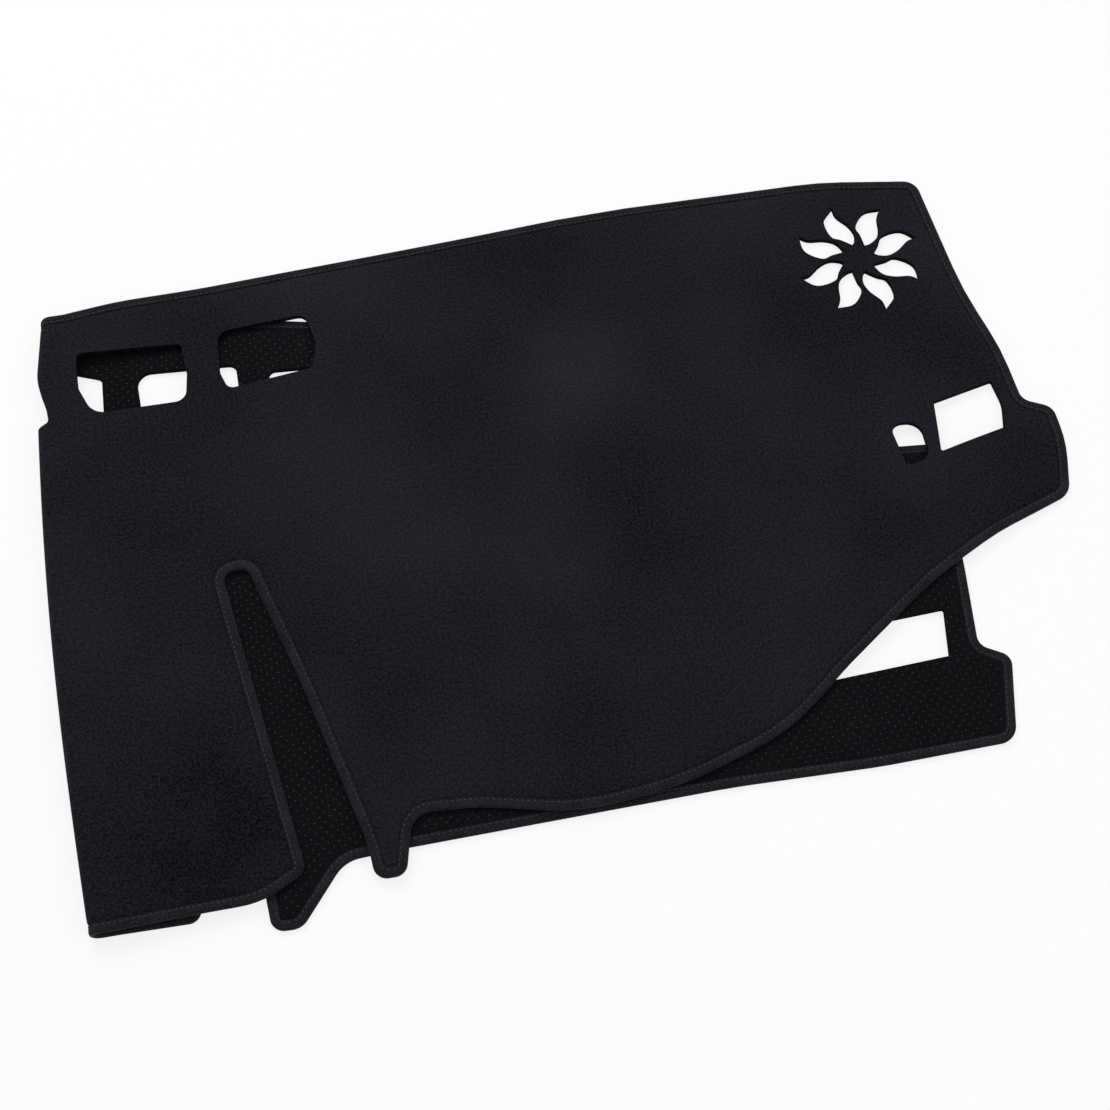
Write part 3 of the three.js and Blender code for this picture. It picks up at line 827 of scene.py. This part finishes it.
class MAT_OT_stage(bpy.types.Operator):
    """Sets the floor, the soft lamps, the world and the camera"""

    bl_idname = "dashmat.stage"
    bl_label = "Stage"

    def execute(self, context):
        scene, colours = context.scene, context.scene.mat_colours
        scene.view_settings.view_transform = "Standard"
        bpy.ops.object.select_all(action="DESELECT")
        bpy.ops.mesh.primitive_plane_add(size=FLOOR_SIZE, location=(0, 0, -FLOOR_DROP))
        floor = context.object
        floor.name = "studio_floor"
        floor.data.materials.append(self.floor_material(colours))
        scene.world = self.world()
        for name, place, size, watts in LAMPS:
            self.lamp(name, place, size, watts)
        camera = bpy.data.objects.new("camera", bpy.data.cameras.new("camera"))
        context.collection.objects.link(camera)
        a, e = math.radians(CAMERA_AZIMUTH), math.radians(CAMERA_ELEVATION)
        back = Vector((math.sin(a) * math.cos(e), -math.cos(a) * math.cos(e), math.sin(e)))
        camera.data.lens = CAMERA_LENS
        camera.location = Vector(CAMERA_TARGET) * MM + back * CAMERA_DISTANCE * MM
        camera.rotation_mode = "QUATERNION"
        camera.rotation_quaternion = (-back).to_track_quat("-Z", "Y")
        scene.camera = camera
        return {"FINISHED"}

    def floor_material(self, colours):
        """Matt white paper that the camera sees as white, with a trace of the shadow left."""
        material, tree, shader = new_material("matt_paper", Roughness=0.9, Base_Color=linear(colours.floor))
        out = next(n for n in tree.nodes if n.type == "OUTPUT_MATERIAL")
        path = add(tree, "ShaderNodeLightPath")
        rays = [(0, path.outputs["Is Camera Ray"]), (1, path.outputs["Is Glossy Ray"])]
        seen = add(tree, "ShaderNodeMath", rays, operation="MAXIMUM")
        share = add(tree, "ShaderNodeMath", [(0, seen.outputs[0])], operation="MULTIPLY")
        share.inputs[1].default_value = FLOOR_WHITE_SHARE
        white = add(tree, "ShaderNodeEmission", Strength=1.0)
        mix = add(
            tree,
            "ShaderNodeMixShader",
            [(0, share.outputs[0]), (1, shader.outputs[0]), (2, white.outputs[0])],
        )
        tree.links.new(mix.outputs[0], out.inputs[0])
        return material

    def world(self):
        """Even studio air, white behind everything."""
        world = bpy.data.worlds.new("studio")
        world.use_nodes = True
        tree = world.node_tree
        tree.nodes.clear()
        path = add(tree, "ShaderNodeLightPath")
        strength = add(tree, "ShaderNodeMix", [(0, path.outputs["Is Camera Ray"])], data_type="FLOAT")
        strength.inputs[2].default_value = AIR_LIGHT
        strength.inputs[3].default_value = 1.0
        air = add(tree, "ShaderNodeBackground", [(1, strength.outputs[0])], Color=(1, 1, 1, 1))
        add(tree, "ShaderNodeOutputWorld", [(0, air.outputs[0])])
        return world

    def lamp(self, name, place, size, watts):
        """A round soft lamp that looks at the mat's middle."""
        data = bpy.data.lights.new(name, "AREA")
        data.shape = "DISK"
        data.size = size
        data.energy = watts
        lamp = bpy.data.objects.new(name, data)
        lamp.location = place
        lamp.rotation_mode = "QUATERNION"
        lamp.rotation_quaternion = Vector((-x for x in place)).to_track_quat("-Z", "Y")
        bpy.context.collection.objects.link(lamp)


class MAT_PT_panel(bpy.types.Panel):
    """Lists the mat's pieces and their settings"""

    bl_label = "Dashboard cover mat"
    bl_idname = "MAT_PT_panel"
    bl_space_type = "VIEW_3D"
    bl_region_type = "UI"
    bl_category = "Mat"

    def draw(self, context):
        for piece in PIECES:
            self.layout.operator(piece.bl_idname)
        for group in (context.scene.mat_sizes, context.scene.mat_colours):
            for name in group.__annotations__:
                self.layout.prop(group, name)


PIECES = (MAT_OT_carpet, MAT_OT_edge_tape, MAT_OT_stitching, MAT_OT_grip_dots, MAT_OT_stage)
CLASSES = (MatSizes, MatColours, *PIECES, MAT_PT_panel)


def register():
    for cls in CLASSES:
        bpy.utils.register_class(cls)
    bpy.types.Scene.mat_sizes = PointerProperty(type=MatSizes)
    bpy.types.Scene.mat_colours = PointerProperty(type=MatColours)


def unregister():
    del bpy.types.Scene.mat_sizes
    del bpy.types.Scene.mat_colours
    for cls in reversed(CLASSES):
        bpy.utils.unregister_class(cls)


def main():
    """Builds every piece and the stage."""
    register()
    bpy.ops.object.select_all(action="DESELECT")
    bpy.ops.dashmat.carpet()
    bpy.ops.dashmat.edge_tape()
    bpy.ops.dashmat.stitching()
    bpy.ops.dashmat.grip_dots()
    bpy.ops.dashmat.stage()


if __name__ == "__main__":
    main()
